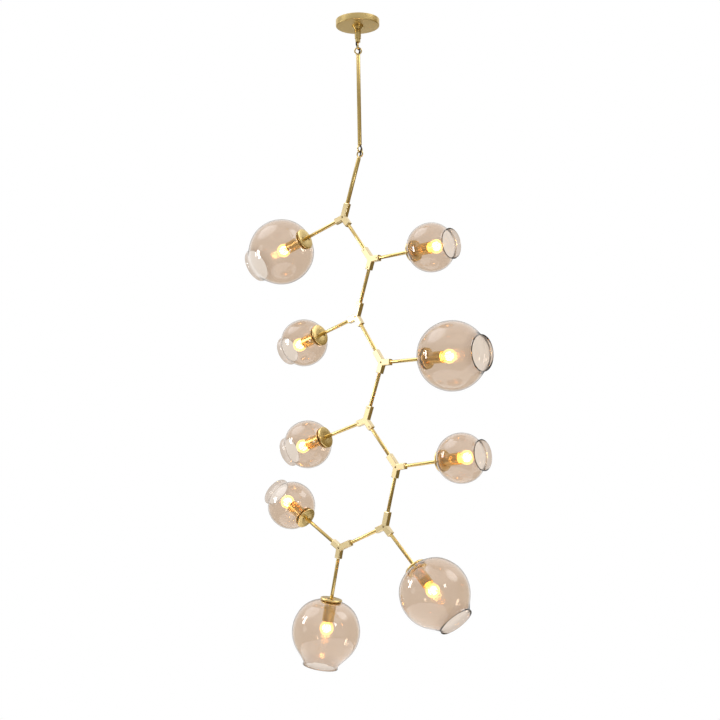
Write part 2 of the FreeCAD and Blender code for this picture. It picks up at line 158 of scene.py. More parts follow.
def smoothLine(points, count):
    # A natural cubic spline through the points, spaced by their distances
    points = np.asarray(points, float)
    knots = np.concatenate([[0], np.cumsum(np.linalg.norm(np.diff(points, axis=0), axis=1))])
    gaps = np.diff(knots)
    size = len(points)
    system, right = np.eye(size), np.zeros_like(points)
    inner = np.arange(1, size - 1)
    system[inner, inner - 1], system[inner, inner + 1] = gaps[:-1], gaps[1:]
    system[inner, inner] = 2 * (gaps[:-1] + gaps[1:])
    slopes = np.diff(points, axis=0) / gaps[:, None]
    right[inner] = 6 * (slopes[1:] - slopes[:-1])
    bends = np.linalg.solve(system, right)
    where = np.linspace(0, knots[-1], count)
    i = np.clip(np.searchsorted(knots, where, side="right") - 1, 0, size - 2)
    gap, a, b = gaps[i][:, None], (knots[i + 1] - where)[:, None], (where - knots[i])[:, None]
    before, after = points[i] / gap - bends[i] * gap / 6, points[i + 1] / gap - bends[i + 1] * gap / 6
    return (bends[i] * a ** 3 + bends[i + 1] * b ** 3) / (6 * gap) + before * a + after * b


def made(part, material):
    return {**part, "material": material}


def turned(outline, place, steps, drawn=False):
    # A closed (radius, height) outline carried round the local Z axis. The grain runs round
    # the turning, or along it on drawn tubes
    outline = np.asarray(outline, float)
    angle, radius, height = around(steps)[None, :], outline[:, :1], outline[:, 1:]
    local = np.stack([radius * np.cos(angle), radius * np.sin(angle), height + 0 * angle], -1)
    grain = np.stack([radius + 0 * angle, height + 0 * angle, 0.04 * local[..., 0]], -1)
    if drawn:
        grain = local * [1, 1, 0.03]
    return {"points": placed(local.reshape(-1, 3), place), "grain": grain.reshape(-1, 3),
            "faces": gridFaces(len(outline), steps)}


def turnedPart(place, corners, rounds, arcSteps, steps, material):
    # A turned surface whose outline's corners have these rounds, in millimetres
    outline = rounded(corners, mm * np.array(rounds, float), arcSteps)
    return made(turned(outline, place, steps), material)


def tube(place, size, start, end):
    # A drawn tube along the local Z axis, with small rounds at its ends
    outer, inner = size["radius"], size["inner"]
    corners = [(outer, start), (outer, end), (inner, end), (inner, start)]
    return made(turned(rounded(corners, [tubeEdge] * 4, 3), place, 48, drawn=True), drawnGold)


def ringPath(place, radius, wire, steps=64, wireSteps=20):
    # A ring of wire in the local XZ plane: the wire's round section carried round a circle
    turn, lap = around(steps)[:, None], around(wireSteps)[None, :]
    reach, side = radius + wire * np.cos(lap), wire * np.sin(lap) + 0 * turn
    local = np.stack([reach * np.cos(turn), side, reach * np.sin(turn)], -1)
    grain = np.stack([wire * np.cos(lap) + 0 * turn, side, 0.02 * turn + 0 * lap], -1)
    return {"points": placed(local.reshape(-1, 3), place), "grain": grain.reshape(-1, 3),
            "faces": gridFaces(steps, wireSteps)}


# Screws, in millimetres: how far the head stands out of its face and reaches below it, its
# six-sided socket and the socket's depth, and the gap round and the depth of the hole that
# the hub's screws sit in
screwSizes = {
    "collar": {"radius": 1.5, "rise": 0.1, "below": 3, "socket": 0.8, "depth": 1.2},
    "cap": {"radius": 2.8, "rise": 1.6, "below": 1, "socket": 1.3, "depth": 1.1},
    "hub": {"radius": 3, "rise": -0.4, "below": 2.4, "socket": 1.5, "depth": 1.3, "gap": 0.2, "hole": 2.5},
    "set": {"radius": 2, "rise": -0.4, "below": 1.8, "socket": 1, "depth": 1.1, "gap": 0.15, "hole": 1.9}}
screwSteps = {"collar": 24, "cap": 24, "hub": 36, "set": 24}


def socketScrew(kind, place, level):
    # A turned head over a face at this level of the local Z axis. Its round rows pass into a
    # six-sided socket, and it is closed at both ends
    size, steps = lengths(**screwSizes[kind]), screwSteps[kind]
    radius, socket, depth = size["radius"], size["socket"], size["depth"]
    top, bottom, edge = level + size["rise"], level - size["below"], 0.18 * radius
    angle = around(steps)
    sixSided = np.cos(np.pi / 6) / np.cos((angle + np.pi / 6) % (np.pi / 3) - np.pi / 6)
    rows = [(0 * angle, bottom), (radius + 0 * angle, bottom), (radius + 0 * angle, top - edge),
            (radius - 0.3 * edge + 0 * angle, top - 0.3 * edge), (radius - edge + 0 * angle, top),
            (socket * 1.15 * sixSided, top), (socket * sixSided, top - 0.12 * depth),
            (socket * sixSided, top - depth), (0 * angle, top - depth * 1.1)]
    local = np.stack([np.stack([reach * np.cos(angle), reach * np.sin(angle), height + 0 * angle], -1)
                      for reach, height in rows])
    grain = np.stack([np.linalg.norm(local[..., :2], axis=-1), local[..., 2], 0 * local[..., 0]], -1)
    return made({"points": placed(local.reshape(-1, 3), place), "grain": grain.reshape(-1, 3),
                 "faces": gridFaces(len(rows), steps, closeRows=False)}, screwBrass)


def joined(parts):
    # The points and faces of several surfaces as one
    faces, base = [], 0
    for part in parts:
        faces += [[base + corner for corner in face] for face in part["faces"]]
        base += len(part["points"])
    return np.concatenate([part["points"] for part in parts]), faces


def cleaned(mesh, dissolve=True):
    # Doubles are merged, so poles and seams close, and the normals are then turned outwards
    work = bmesh.new()
    work.from_mesh(mesh)
    bmesh.ops.remove_doubles(work, verts=work.verts, dist=mergeReach)
    if dissolve:
        bmesh.ops.dissolve_degenerate(work, edges=work.edges, dist=0.1 * mergeReach)
    bmesh.ops.recalc_face_normals(work, faces=work.faces)
    work.to_mesh(mesh)
    work.free()


def addObject(name, data):
    thing = bpy.data.objects.new(name, data)
    bpy.context.scene.collection.objects.link(thing)
    return thing


def aimObject(thing, axes, origin):
    matrix = np.eye(4)
    matrix[:3, :3], matrix[:3, 3] = axes, origin
    thing.matrix_world = Matrix(matrix.tolist())


def makeShape(name, parts, sharpAngle):
    # One mesh from several surfaces, each with its own material
    points, faces = joined(parts)
    materials, indices = [], []
    for part in parts:
        if part["material"] not in materials:
            materials.append(part["material"])
        indices += [materials.index(part["material"])] * len(part["faces"])
    mesh = bpy.data.meshes.new(name)
    mesh.from_pydata(points.tolist(), [], faces)
    grain = np.concatenate([part["grain"] for part in parts]).astype(np.float32)
    mesh.attributes.new("grain", "FLOAT_VECTOR", "POINT").data.foreach_set("vector", grain.ravel())
    mesh.polygons.foreach_set("material_index", np.array(indices, np.int32))
    for material in materials:
        mesh.materials.append(material)
    cleaned(mesh)
    mesh.shade_smooth()
    mesh.set_sharp_from_angle(angle=np.radians(sharpAngle))
    return addObject(name, mesh)


def makePiece(name, parts, body, replaced=(), sharpAngle=32):
    piece = makeShape(name, parts, sharpAngle)
    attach(piece, body)
    if replaced:
        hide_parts(*replaced)
    return piece


# Shader nodes

def setInputs(node, values):
    for label, value in values.items():
        node.inputs[label].default_value = value


def addNode(tree, kind, values=None, **settings):
    # A node with its settings and the values of its inputs
    node = tree.nodes.new(kind)
    for label, value in settings.items():
        setattr(node, label, value)
    setInputs(node, values or {})
    return node


def join(tree, *rows):
    # Each row leads one node's output to another node's input
    for source, output, target, given in rows:
        tree.links.new(source.outputs[output], target.inputs[given])


def fromSpan(span):
    return {"From Min": span[0], "From Max": span[1]}


def colorRamp(tree, stops):
    ramp = addNode(tree, "ShaderNodeValToRGB")
    for element, (place, color) in zip(ramp.color_ramp.elements, stops):
        element.position, element.color = place, (*color, 1)
    return ramp


def shareNode(tree):
    # The grain's X, where some pieces hold each point's share of the way along them
    grain = addNode(tree, "ShaderNodeAttribute", attribute_name="grain")
    parts = addNode(tree, "ShaderNodeSeparateXYZ")
    join(tree, (grain, "Vector", parts, "Vector"))
    return parts


# Shared effects, as node groups

def newGroup(name, inputs, outputs):
    group = bpy.data.node_groups.new(name, "ShaderNodeTree")
    for way, sockets in (("INPUT", inputs), ("OUTPUT", outputs)):
        for label, kind in sockets:
            group.interface.new_socket(label, in_out=way, socket_type=kind)
    return group, group.nodes.new("NodeGroupInput"), group.nodes.new("NodeGroupOutput")


def brushedGroup():
    # Fine drawn grain from stretched noise, with a slow cloudiness over it
    group, given, result = newGroup("brushedGrain", [
        ("Grain", "NodeSocketVector"), ("Fineness", "NodeSocketFloat"),
        ("Light Color", "NodeSocketColor"), ("Deep Color", "NodeSocketColor"),
        ("Low Roughness", "NodeSocketFloat"), ("High Roughness", "NodeSocketFloat")],
        [("Color", "NodeSocketColor"), ("Roughness", "NodeSocketFloat"), ("Height", "NodeSocketFloat")])
    coords = addNode(group, "ShaderNodeTexCoord")
    fine = addNode(group, "ShaderNodeTexNoise", {"Detail": 3})
    cloud = addNode(group, "ShaderNodeTexNoise", {"Scale": 28, "Detail": 2})
    both = addNode(group, "ShaderNodeMix", {"Factor": 0.45})
    tint = addNode(group, "ShaderNodeMix", data_type="RGBA")
    rough = addNode(group, "ShaderNodeMapRange", fromSpan((0.3, 0.7)))
    join(group, (given, "Grain", fine, "Vector"), (given, "Fineness", fine, "Scale"),
         (coords, "Object", cloud, "Vector"), (fine, "Fac", both, "A"), (cloud, "Fac", both, "B"),
         (both, "Result", tint, "Factor"), (given, "Deep Color", tint, "A"),
         (given, "Light Color", tint, "B"), (both, "Result", rough, "Value"),
         (given, "Low Roughness", rough, "To Min"), (given, "High Roughness", rough, "To Max"),
         (tint, "Result", result, "Color"), (rough, "Result", result, "Roughness"),
         (fine, "Fac", result, "Height"))
    return group


def blownGroup():
    # Slow swells of blown glass: they vary the tint and lift the surface a little
    group, given, result = newGroup("blownSwell", [
        ("Pale Color", "NodeSocketColor"), ("Deep Color", "NodeSocketColor"),
        ("Swell Scale", "NodeSocketFloat")],
        [("Color", "NodeSocketColor"), ("Height", "NodeSocketFloat")])
    coords = addNode(group, "ShaderNodeTexCoord")
    swell = addNode(group, "ShaderNodeTexNoise", {"Detail": 1.5})
    tint = addNode(group, "ShaderNodeMix", data_type="RGBA")
    join(group, (coords, "Object", swell, "Vector"), (given, "Swell Scale", swell, "Scale"),
         (swell, "Fac", tint, "Factor"), (given, "Pale Color", tint, "A"),
         (given, "Deep Color", tint, "B"), (tint, "Result", result, "Color"),
         (swell, "Fac", result, "Height"))
    return group


brushedGrain = brushedGroup()
blownSwell = blownGroup()


# Materials

grainHeight = 0.1 * mm
swellHeight = 2 * mm
grainedLooks = {
    "satinGold": {"bump": 0.1, "fineness": 2600, "light": (0.8, 0.63, 0.29), "deep": (0.72, 0.55, 0.23),
                  "roughness": (0.24, 0.34)},
    "mattGold": {"bump": 0.08, "fineness": 2600, "light": (0.82, 0.64, 0.3), "deep": (0.74, 0.56, 0.24),
                 "roughness": (0.36, 0.44)},
    "castGold": {"bump": 0.06, "fineness": 1400, "light": (0.83, 0.69, 0.42), "deep": (0.77, 0.63, 0.36),
                 "roughness": (0.15, 0.21)},
    "warmGold": {"bump": 0.05, "fineness": 1800, "light": (0.84, 0.71, 0.38), "deep": (0.77, 0.63, 0.31),
                 "roughness": (0.3, 0.4)},
    "drawnGold": {"bump": 0.004, "fineness": 900, "light": (0.7, 0.53, 0.21), "deep": (0.67, 0.5, 0.19),
                  "roughness": (0.22, 0.24)},
    "screwBrass": {"bump": 0.1, "fineness": 3000, "light": (0.5, 0.38, 0.2), "deep": (0.32, 0.23, 0.11),
                   "roughness": (0.3, 0.45)},
    "zincSteel": {"bump": 0.2, "fineness": 900, "light": (0.66, 0.66, 0.64), "deep": (0.5, 0.5, 0.49),
                  "roughness": (0.3, 0.5)},
    "socketCeramic": {"metallic": 0, "bump": 0.05, "fineness": 500, "light": (0.85, 0.82, 0.75),
                      "deep": (0.78, 0.74, 0.66), "roughness": (0.35, 0.5)},
    "wireBlack": {"metallic": 0, "bump": 0.1, "fineness": 700, "light": (0.02, 0.02, 0.02),
                  "deep": (0.01, 0.01, 0.01), "roughness": (0.4, 0.55)}}
shadeLook = {
    "roughness": 0, "ior": 1.5, "bump": 0.015, "swellScale": 7, "pale": (0.85, 0.755, 0.67),
    "deep": (0.76, 0.65, 0.545), "edgeSpan": (0.72, 0.97), "edgeColor": (0.4, 0.35, 0.32),
    "mouthTint": (0.82, 0.8, 0.79), "mouthSpan": (0.86, 0.97), "lipSpan": (0.975, 0.992), "lipShare": 0.2}
bulbLook = {
    "roughness": 0.2, "ior": 1.45, "bump": 0.1, "swellScale": 220, "pale": (1.0, 0.9, 0.68),
    "deep": (0.96, 0.8, 0.55), "edgeSpan": (0.6, 1.0), "edgeColor": (1.0, 0.8, 0.5),
    "glow": ((0.42, 0.24, 0.09), (0.95, 0.6, 0.26)), "glowSpan": (0.3, 0.62), "glowStrength": 0.62}
filamentLook = {"endColor": (1.0, 0.4, 0.08), "middleColor": (1.0, 0.72, 0.36), "middleSpan": (0, 0.6),
                "roughness": 0.6, "strength": 7}


def newMaterial(name):
    material = bpy.data.materials.new(name)
    material.use_nodes = True
    return material, material.node_tree, material.node_tree.nodes["Principled BSDF"]


def bumpedEffect(tree, shader, group, values, strength, distance):
    # A shared effect, and the bump that its height makes
    effect = addNode(tree, "ShaderNodeGroup", values, node_tree=group)
    bump = addNode(tree, "ShaderNodeBump", {"Strength": strength, "Distance": distance})
    join(tree, (effect, "Height", bump, "Height"), (bump, "Normal", shader, "Normal"))
    return effect


def grainedMaterial(name, look):
    # Brass, steel, ceramic and the wire's sleeve: the brushed effect with its own values
    material, tree, shader = newMaterial(name)
    grain = addNode(tree, "ShaderNodeAttribute", attribute_name="grain")
    effect = bumpedEffect(tree, shader, brushedGrain, {
        "Light Color": (*look["light"], 1), "Deep Color": (*look["deep"], 1),
        "Fineness": look["fineness"], "Low Roughness": look["roughness"][0],
        "High Roughness": look["roughness"][1]},
        look["bump"], grainHeight)
    setInputs(shader, {"Metallic": look.get("metallic", 1)})
    join(tree, (grain, "Vector", effect, "Grain"), (effect, "Color", shader, "Base Color"),
         (effect, "Roughness", shader, "Roughness"))
    return material


def glassMaterial(name, look):
    material, tree, shader = newMaterial(name)
    effect = bumpedEffect(tree, shader, blownSwell, {
        "Pale Color": (*look["pale"], 1), "Deep Color": (*look["deep"], 1),
        "Swell Scale": look["swellScale"]}, look["bump"], swellHeight)
    setInputs(shader, {"Roughness": look["roughness"], "IOR": look["ior"], "Transmission Weight": 1})
    # The wall looks deeper where it is seen edge on
    edge = addNode(tree, "ShaderNodeLayerWeight", {"Blend": 0.5})
    span = addNode(tree, "ShaderNodeMapRange", fromSpan(look["edgeSpan"]),
                   interpolation_type="SMOOTHSTEP")
    deepened = addNode(tree, "ShaderNodeMix", {"B": (*look["edgeColor"], 1)}, data_type="RGBA")
    join(tree, (edge, "Facing", span, "Value"), (span, "Result", deepened, "Factor"),
         (effect, "Color", deepened, "A"), (deepened, "Result", shader, "Base Color"))
    if "mouthTint" in look:
        # Blown glass gathers at the mouth, and the grain's X says how near each place is to
        # it. The round lip itself is thin, so it deepens less at its edge than the wall does
        near, thick = shareNode(tree), addNode(tree, "ShaderNodeMapRange", fromSpan(look["mouthSpan"]))
        deep = addNode(tree, "ShaderNodeMix", {"B": (*look["mouthTint"], 1)}, data_type="RGBA",
                       blend_type="MULTIPLY")
        lip = addNode(tree, "ShaderNodeMapRange", {**fromSpan(look["lipSpan"]), "To Min": 1,
                                         "To Max": look["lipShare"]})
        weaker = addNode(tree, "ShaderNodeMath", operation="MULTIPLY")
        join(tree, (near, "X", thick, "Value"), (thick, "Result", deep, "Factor"),
             (effect, "Color", deep, "A"), (deep, "Result", deepened, "A"), (near, "X", lip, "Value"),
             (lip, "Result", weaker, 0), (span, "Result", weaker, 1),
             (weaker, "Value", deepened, "Factor"))
    if "glow" in look:
        # The grain's X says how far each place is from the cap: the globe glows most
        share, ramp = shareNode(tree), colorRamp(tree, zip(look["glowSpan"], look["glow"]))
        setInputs(shader, {"Emission Strength": look["glowStrength"]})
        join(tree, (share, "X", ramp, "Fac"), (ramp, "Color", shader, "Emission Color"))
    # Lamps shine through the glass: it is clear, with its tint, to shadow rays
    clear, path = addNode(tree, "ShaderNodeBsdfTransparent"), addNode(tree, "ShaderNodeLightPath")
    mix = addNode(tree, "ShaderNodeMixShader")
    join(tree, (effect, "Color", clear, "Color"), (path, "Is Shadow Ray", mix, 0),
         (shader, "BSDF", mix, 1), (clear, "BSDF", mix, 2),
         (mix, "Shader", tree.nodes["Material Output"], "Surface"))
    return material


def filamentMaterial(look):
    # Coated filament: brighter in the middle of its length than at its ends
    material, tree, shader = newMaterial("glowingFilament")
    ramp = colorRamp(tree, zip(look["middleSpan"], (look["endColor"], look["middleColor"])))
    setInputs(shader, {"Base Color": (*look["middleColor"], 1), "Roughness": look["roughness"],
                       "Emission Strength": look["strength"]})
    join(tree, (shareNode(tree), "X", ramp, "Fac"), (ramp, "Color", shader, "Emission Color"))
    return material


satinGold, mattGold, castGold, warmGold, drawnGold, screwBrass, zincSteel, socketCeramic, wireBlack = [
    grainedMaterial(name, look) for name, look in grainedLooks.items()]
cognacGlass = glassMaterial("cognacGlass", shadeLook)
bulbGlass = glassMaterial("bulbGlass", bulbLook)
glowingFilament = filamentMaterial(filamentLook)
print("materials done")


# Canopy, collar, neck and rods on the vertical axis. Rounds are given in millimetres, in the
# order of the outline's corners

down = np.array([0, 0, -1.0])
east = np.array([1.0, 0, 0])
canopy = {**lengths(radius=65, height=19.5, wall=1.5, hole=5.05),
          "rounds": (0.4, 2.6, 0.2, 0.2, 1.5, 0.2)}
collar = {**lengths(flangeRadius=17, flangeHeight=5, stepRadius=13, stepHeight=4),
          "rounds": (0, 0.3, 0.7, 0.4, 0.7, 0.3)}
neck = {**lengths(radius=9.5, length=35.2, gap=0.3, hole=5.05, grooveRadius=8.7, groovePlace=22.5,
                  grooveWidth=3.5, lowerEnd=29, lowerRadius=7.5, capRadius=7.5, capHeight=5),
        "rounds": (0.2, 0.5, 0.3, 0.1, 0.1, 0.3, 1, 0.1, 0.1, 0.2)}
loop = {**lengths(radius=9.75, wire=2.25, stub=3, stubSink=0.6, weld=1.6, weldHeight=0.2, plugRadius=4.9,
                  plugLength=9), "rounds": (0, 0, 1, 0.8, 0.6, 0.2, 0, 0.3, 0)}
stem = lengths(radius=6, inner=5, span=302.5, capHeight=3)
loopReach = loop["radius"] + loop["wire"]
upperPivot, lowerPivot = [np.array(joints[name]["pos_m"], float) for name in ("loop_swing", "drop_swing")]
upperRun = unit(joints["loop_swing"]["axis"])


def canopyPiece():
    # A cup: its outer wall, the flat end with a hole in the middle, and its inner wall
    size = canopy
    inner, under = size["radius"] - size["wall"], size["height"] - size["wall"]
    corners = [(size["radius"], 0), (size["radius"], size["height"]), (size["hole"], size["height"]),
               (size["hole"], under), (inner, under), (inner, 0)]
    shell = turnedPart(framed((0, 0, 0), down, east), corners, size["rounds"], 9, 160, mattGold)
    makePiece("canopy_shell", [shell], "mount", ["canopy_cup"])


def collarPiece():
    # A wide flange over a narrower step, which has a set screw at the height of its middle
    # on both sides
    size, level = collar, -canopy["height"]
    top, lower = size["flangeHeight"], size["flangeHeight"] + size["stepHeight"]
    corners = [(canopy["hole"], 0), (size["flangeRadius"], 0), (size["flangeRadius"], top),
               (size["stepRadius"], top), (size["stepRadius"], lower), (canopy["hole"], lower)]
    parts = [turnedPart(framed((0, 0, level), down, east), corners, size["rounds"], 6, 96, satinGold)]
    for side in (-1, 1):
        spot = framed((0, 0, level - (top + lower) / 2), side * east, down)
        parts.append(socketScrew("collar", spot, size["stepRadius"]))
    makePiece("collar_rings", parts, "mount", ["canopy_collar"])


def eyeParts(place, capRadius, capHeight):
    # Local Z points from the ring's middle to its rod: a ring, and one outline turned for the
    # stub on the ring, its weld, the cap and the plug in the rod
    size, reach, end = loop, loopReach, loopReach + capHeight
    corners = [(0, size["radius"] + size["stubSink"]), (size["stub"], size["radius"] + size["stubSink"]),
               (size["stub"], reach - size["weldHeight"]), (size["stub"] + size["weld"], reach),
               (capRadius, reach), (capRadius, end), (size["plugRadius"], end),
               (size["plugRadius"], end + size["plugLength"]), (0, end + size["plugLength"])]
    return [made(ringPath(place, size["radius"], size["wire"]), satinGold),
            turnedPart(place, corners, size["rounds"], 5, 48, satinGold)]


def neckPieces():
    # A sleeve with a groove and a narrower lower end. Its loop stands one pitch over the one
    # that it holds: twice the difference of the ring's radius and its wire's, less the gap
    size = neck
    level = canopy["height"] + collar["flangeHeight"] + collar["stepHeight"] + size["gap"]
    start, end = size["groovePlace"], size["groovePlace"] + size["grooveWidth"]
    corners = [(size["hole"], 0), (size["radius"], 0), (size["radius"], start),
               (size["grooveRadius"], start), (size["grooveRadius"], end), (size["radius"], end),
               (size["radius"], size["lowerEnd"]), (size["lowerRadius"], size["lowerEnd"]),
               (size["lowerRadius"], size["length"]), (size["hole"], size["length"])]
    sleeve = turnedPart(framed((0, 0, -level), down, east), corners, size["rounds"], 5, 72, satinGold)
    makePiece("neck_sleeve", [sleeve], "swivel", ["swivel_neck"])
    pitch = 2 * (loop["radius"] - loop["wire"]) - size["gap"]
    eye = framed(upperPivot - down * pitch, -down, upperRun)
    makePiece("neck_eye", eyeParts(eye, size["capRadius"], size["capHeight"]), "swivel",
              ["canopy_loop"])


def stemPiece():
    # A tube between two loops, whose caps close its ends
    start = loopReach + stem["capHeight"]
    parts = [tube(framed(upperPivot, down, upperRun), stem, start, stem["span"] - start)]
    for eye in (framed(upperPivot, down, np.cross(upperRun, down)),
                framed(upperPivot + down * stem["span"], -down, (0, 1.0, 0))):
        parts += eyeParts(eye, stem["radius"], stem["capHeight"])
    makePiece("stem_tube", parts, "stem", ["down_rod"])


# Hubs: a Y outline with rounded corners, carried up a section with bevelled faces and a seam

hub = {**lengths(depth=16, width=17.5, stemArm=43.5, branchArm=31, bevel=1.8, endRound=0.9, innerRound=3,
                 seam=0.35, setInset=6.5, stemSeat=25, branchSeat=19.5),
       "bevelArc": 0.55, "sharpAngle": 25, "turned": (2, 5)}
rod = lengths(radius=5, inner=4, link=172.75)


def yOutline(angles, arms, inset, half):
    # Corners of three arms in turn: two at each arm's end, and the inner corner where its
    # left side meets the next arm's right side
    order = np.argsort(angles)
    angles, arms = np.asarray(angles)[order], np.asarray(arms)[order]
    run = np.stack([np.cos(angles), np.sin(angles)], -1)
    left = np.stack([-run[:, 1], run[:, 0]], -1)
    half, arms = half - inset, arms - inset
    gap = (np.roll(angles, -1) - angles) % (2 * np.pi)
    corner = run * (half / np.tan(gap / 2))[:, None] + left * half
    end = run * arms[:, None]
    return np.stack([end - left * half, end + left * half, corner], 1).reshape(-1, 2)


def hubBlock(place, angles, size):
    # The section's rows of (inset, height) run from the back face over the seam to the front.
    # The bevel's inset is a mix of an arc's and a straight slope's
    half, bevel, seam, arc = size["depth"] / 2, size["bevel"], size["seam"], size["bevelArc"]
    turn = np.linspace(0, np.pi / 2, 4)
    slope = turn / turn[-1]
    rise = np.stack([bevel * (arc * (1 - np.cos(turn)) + (1 - arc) * slope),
                     half - bevel + bevel * slope], -1)
    upper = np.concatenate([[(seam, seam * 0.3), (0, seam)], rise])
    rows = np.concatenate([(upper * [1, -1])[::-1], upper])
    radii = np.tile([size["endRound"], size["endRound"], size["innerRound"]], 3)
    arms = [size["stemArm"], size["branchArm"], size["branchArm"]]
    outlines = [rounded(yOutline(angles, arms, inset, size["width"] / 2), radii, 6) for inset, _ in rows]
    count = len(outlines[0])
    points = np.concatenate([np.concatenate([line, np.full((count, 1), height)], 1)
                             for line, (_, height) in zip(outlines, rows)])
    faces = gridFaces(len(rows), count, closeRows=False)
    faces += [list(range(count))[::-1], list(range((len(rows) - 1) * count, len(rows) * count))]
    return {"points": placed(points, place), "grain": points * [0.25, 1, 1], "faces": faces}


def cutScrewHoles(piece, holes, sharpAngle):
    # Blind round holes for the screws, cut by a mesh of short turned plugs
    points, faces = joined([turned([(0, top), (radius, top), (radius, bottom), (0, bottom)], place, 32)
                            for place, radius, top, bottom in holes])
    cutter = bpy.data.meshes.new("cutter")
    cutter.from_pydata(points.tolist(), [], faces)
    cleaned(cutter, dissolve=False)
    tool = addObject("cutter", cutter)
    modifier = piece.modifiers.new("screwHoles", "BOOLEAN")
    modifier.operation, modifier.solver, modifier.object = "DIFFERENCE", "EXACT", tool
    shaped = bpy.data.meshes.new_from_object(piece.evaluated_get(bpy.context.evaluated_depsgraph_get()))
    piece.modifiers.clear()
    old = piece.data
    piece.data = shaped
    bpy.data.meshes.remove(old)
    bpy.data.objects.remove(tool)
    shaped.shade_smooth()
    shaped.set_sharp_from_angle(angle=np.radians(sharpAngle))


def hubPieces(number, hubPlace):
    # One screw sits in the middle of the face, and three on the other side near the ends of
    # the arms. In the turned hubs it is the other way round
    size, body, top = hub, f"hub_{number}_body", hub["depth"] / 2
    run, facing, middle = hubPlace["run"], hubPlace["facing"], hubPlace["middle"]
    place = framed(middle, facing, run)
    branches = [unit(-run), hubPlace["armRun"], hubPlace["otherRun"]]
    local = np.array(branches) @ place["axes"]
    block = made(hubBlock(place, np.arctan2(local[:, 1], local[:, 0]), size), castGold)
    piece = makePiece(f"hub_block_{number}", [block], body, [f"hub_{number}"],
                      sharpAngle=size["sharpAngle"])
    front = -facing if number in size["turned"] else facing
    spots = [("hub", framed(middle, front, run))]
    for branch, arm in zip(branches, [size["stemArm"], size["branchArm"], size["branchArm"]]):
        spots.append(("set", framed(middle + branch * (arm - size["setInset"]), -front, run)))
    holes = []
    for kind, spot in spots:
        screw = lengths(**screwSizes[kind])
        holes.append((spot, screw["radius"] + screw["gap"], top + mm, top - screw["hole"]))
    cutScrewHoles(piece, holes, size["sharpAngle"])
    screws = [socketScrew(kind, spot, top) for kind, spot in spots]
    makePiece(f"hub_screws_{number}", screws, body)
    if number < hubCount:
        start = size["branchArm"] - size["branchSeat"]
        end = rod["link"] - size["stemArm"] + size["stemSeat"]
        link = tube(framed(middle, hubPlace["otherRun"], facing), rod, start, end)
        makePiece(f"link_tube_{number}", [link], body, [f"link_rod_{number}"])


def dropPiece(firstHub):
    # A tube with a loop on top, which ends in the first hub
    place = framed(lowerPivot, firstHub["run"], (1.0, 0, 0))
    end = np.linalg.norm(firstHub["middle"] - lowerPivot) - hub["stemArm"] + hub["stemSeat"]
    parts = [tube(place, stem, loopReach + stem["capHeight"], end)]
    parts += eyeParts(place, stem["radius"], stem["capHeight"])
    makePiece("drop_tube", parts, "drop", ["drop_rod"])


# Arms: all distances run from the hub's middle along the arm, but the bulb's neck points and
# post run from its globe's middle, in millimetres

holder = {**lengths(capFace=148.5, capRadius=32, capHeight=6.5, dome=0.6, neckRadius=21.6, neckLength=5.3,
                    cupRadius=17, cupWall=2, cupEnd=216, cupFloor=162.5, ringRadius=30, ringHeight=4,
                    gap=0.3, screwRing=15, armEnd=158.5, insertEnd=205, insertHole=7.15),
          "domeShare": 0.6, "rounds": (0.2, 30, 2.9, 2.9, 0.4, 0.3, 0.3, 0.7, 0.4, 0.6, 0.2),
          "ringRounds": (0.2, 1.6, 1.6, 0.2), "insertRounds": (0.2, 0.2, 0.8, 1.2)}
bulb = {**lengths(middle=237, radius=20, wall=0.8, baseRadius=7, baseStart=180.5, baseEnd=205.5,
                  threadDepth=0.3, shoulder=8.8, shoulderRise=0.4, tipRise=0.6, filamentRadius=1.3,
                  filamentStart=224, filamentEnd=249, cage=10, glowRadius=16),
        "neckPoints": ((8.6, -33), (9.5, -29.5), (11.4, -24), (14.2, -18.2)),
        "globeAngles": (20, -2, -24, -46, -68, -90), "threadRows": 57, "filaments": 8,
        "post": {"foot": 4, "radius": 1.6, "start": -16, "end": 12, "rounds": (0, 0.5, 4, 1, 0)},
        "glowPower": 1.0, "glowColor": (1.0, 0.66, 0.34)}
glass = {**lengths(seat=155.3, wall=2.2, hole=22), "lipLoss": 0.35,
         "large": {**lengths(radius=98.5, height=195, mouth=51.5), "shares": [
             (0.356, 0.013), (0.565, 0.056), (0.772, 0.144), (0.92, 0.272), (0.986, 0.385), (0.998, 0.485),
             (0.972, 0.59), (0.9, 0.69), (0.768, 0.796), (0.637, 0.875), (0.547, 0.935), (0.510, 0.972)]},
         "small": {**lengths(radius=70, height=135, mouth=44), "shares": [
             (0.5, 0.03), (0.714, 0.107), (0.871, 0.215), (0.971, 0.348), (1.0, 0.47), (0.971, 0.6),
             (0.871, 0.726), (0.743, 0.807), (0.629, 0.867), (0.571, 0.915), (0.571, 0.955)]}}


